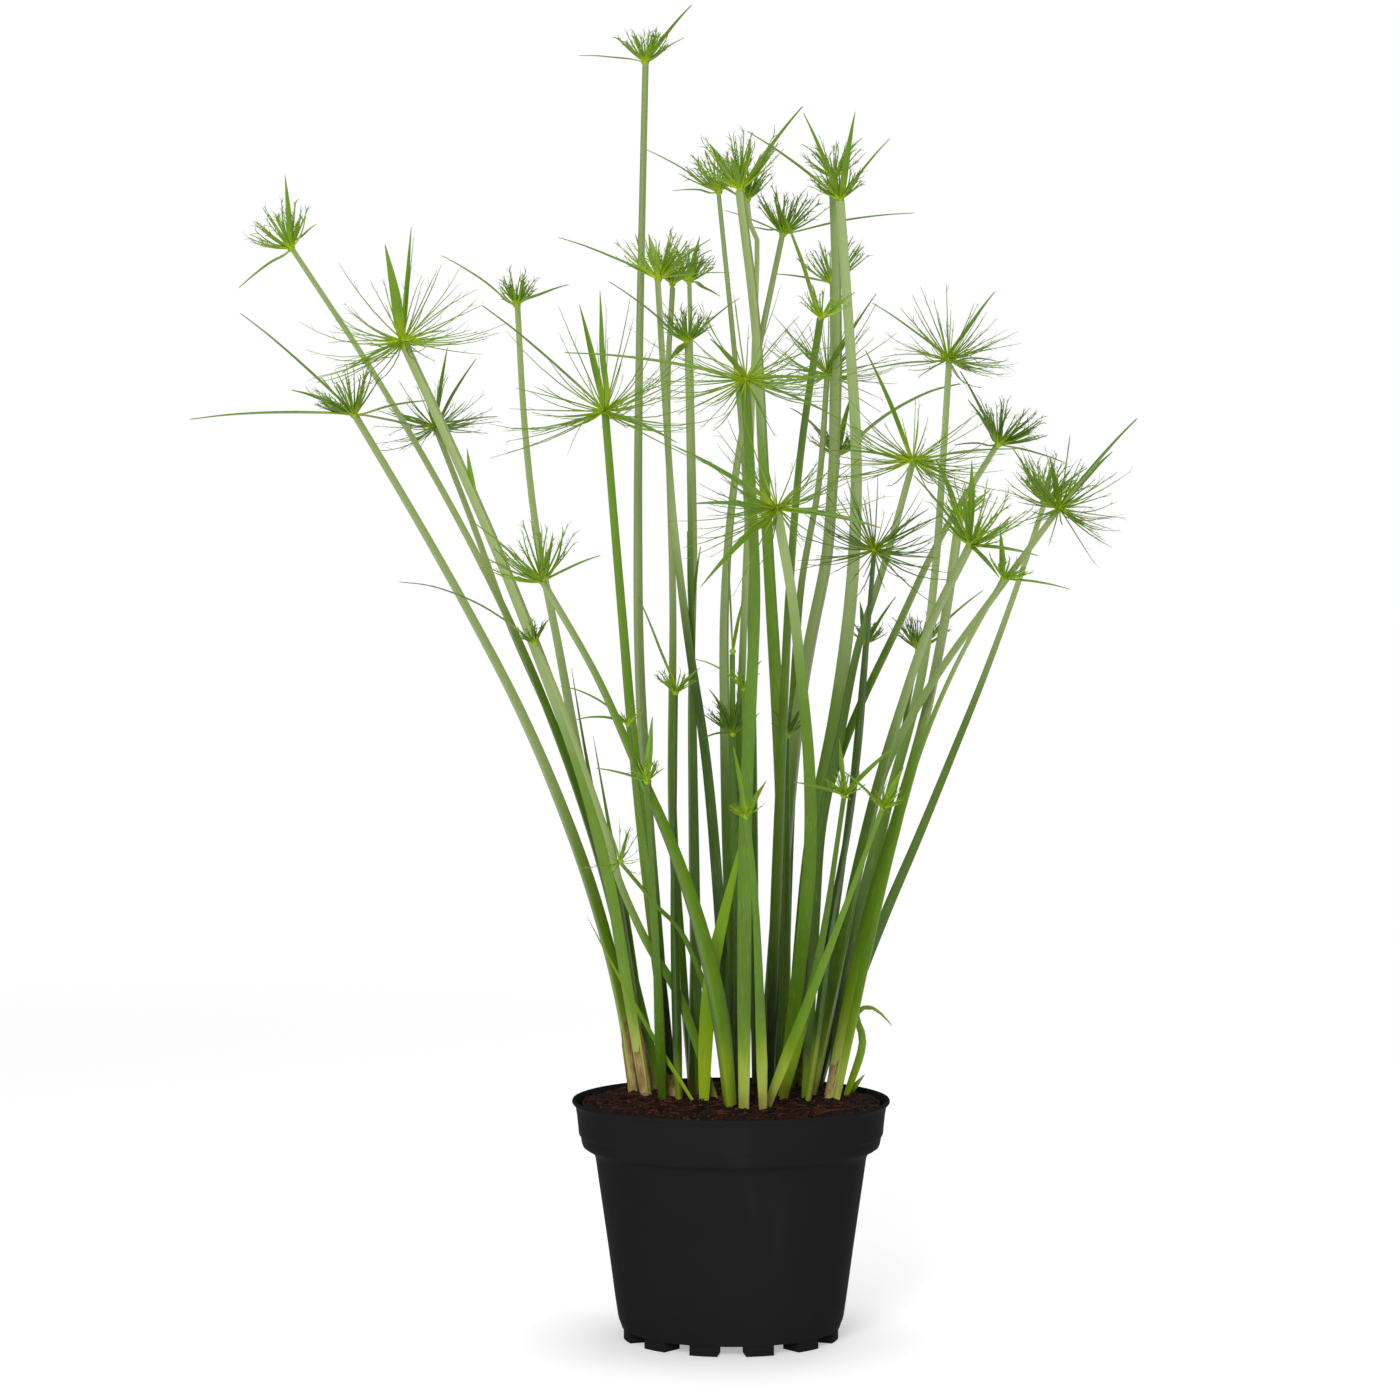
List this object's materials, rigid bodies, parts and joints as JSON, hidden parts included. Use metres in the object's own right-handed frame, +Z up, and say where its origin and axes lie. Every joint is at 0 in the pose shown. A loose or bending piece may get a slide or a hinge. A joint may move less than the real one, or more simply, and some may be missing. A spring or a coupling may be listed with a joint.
{
  "type": "potted papyrus plant",
  "caption": "Clump of papyrus culms with leafy umbels, growing in soil in a round tapered nursery pot with a raised collar and a notched foot.",
  "frame": {"origin": "centre of the underside of the pot's central pad, on the surface that the pot stands on", "axes": "+Z up along the pot's axis; +X to the right and +Y away from the viewer in the front view"},
  "size_m": [0.551, 0.4305, 0.8006],
  "materials": {
    "pot_plastic": "satin black moulded plastic",
    "potting_soil": "damp dark red-brown peat with fine fibres",
    "green_stem": "smooth satin green stem, paler at the base",
    "green_umbel": "mid green bracts and thread-like rays",
    "young_green": "bright yellow-green young growth",
    "green_leaf": "mid green strap leaf"
  },
  "bodies": {
    "root": {"pot": "pot_plastic", "soil": "potting_soil", "leaf_curled": "green_leaf", "stem_left_tip": "green_stem", "stem_left_big": "green_stem", "stem_left_low": "green_stem", "stem_left_back": "green_stem", "stem_left_inner": "green_stem", "stem_mid_left": "green_stem", "stem_tallest": "green_stem", "stem_centre_left": "green_stem", "stem_centre_back": "green_stem", "stem_centre_tall": "green_stem", "stem_right_tall": "green_stem", "stem_centre_right": "green_stem", "stem_front_big": "green_stem", "stem_right_mid": "green_stem", "stem_right_wide": "green_stem", "stem_right_front": "green_stem", "stem_right_outer": "green_stem", "stem_far_right": "green_stem", "stem_far_right_low": "green_stem", "stem_right_low": "green_stem", "stem_front_right": "green_stem", "umbel_left_tip": "green_umbel", "umbel_left_big": "green_umbel", "umbel_left_low": "green_umbel", "umbel_left_back": "green_umbel", "umbel_left_inner": "green_umbel", "umbel_mid_left": "green_umbel", "umbel_tallest": "green_umbel", "umbel_centre_left": "green_umbel", "umbel_centre_back": "green_umbel", "umbel_centre_tall": "green_umbel", "umbel_right_tall": "green_umbel", "umbel_centre_right": "green_umbel", "umbel_front_big": "green_umbel", "umbel_right_mid": "green_umbel", "umbel_right_wide": "green_umbel", "umbel_right_front": "green_umbel", "umbel_right_outer": "green_umbel", "umbel_far_right": "green_umbel", "umbel_far_right_low": "green_umbel", "umbel_right_low": "green_umbel", "umbel_front_right": "green_umbel", "shoot_centre_thin": "young_green", "shoot_centre_inner": "young_green", "shoot_right_back": "young_green", "shoot_right_inner": "young_green", "shoot_right_fresh": "young_green", "shoot_far_right_fresh": "young_green", "shoot_thin_dark": "young_green", "shoot_left_slanting": "young_green", "shoot_centre_short": "young_green", "shoot_right_short": "young_green", "shoot_right_back_low": "young_green", "shoot_right_small": "young_green", "shoot_front_leaning": "young_green", "shoot_front_short": "young_green", "shoot_left_short": "young_green"}
  },
  "joints": []
}
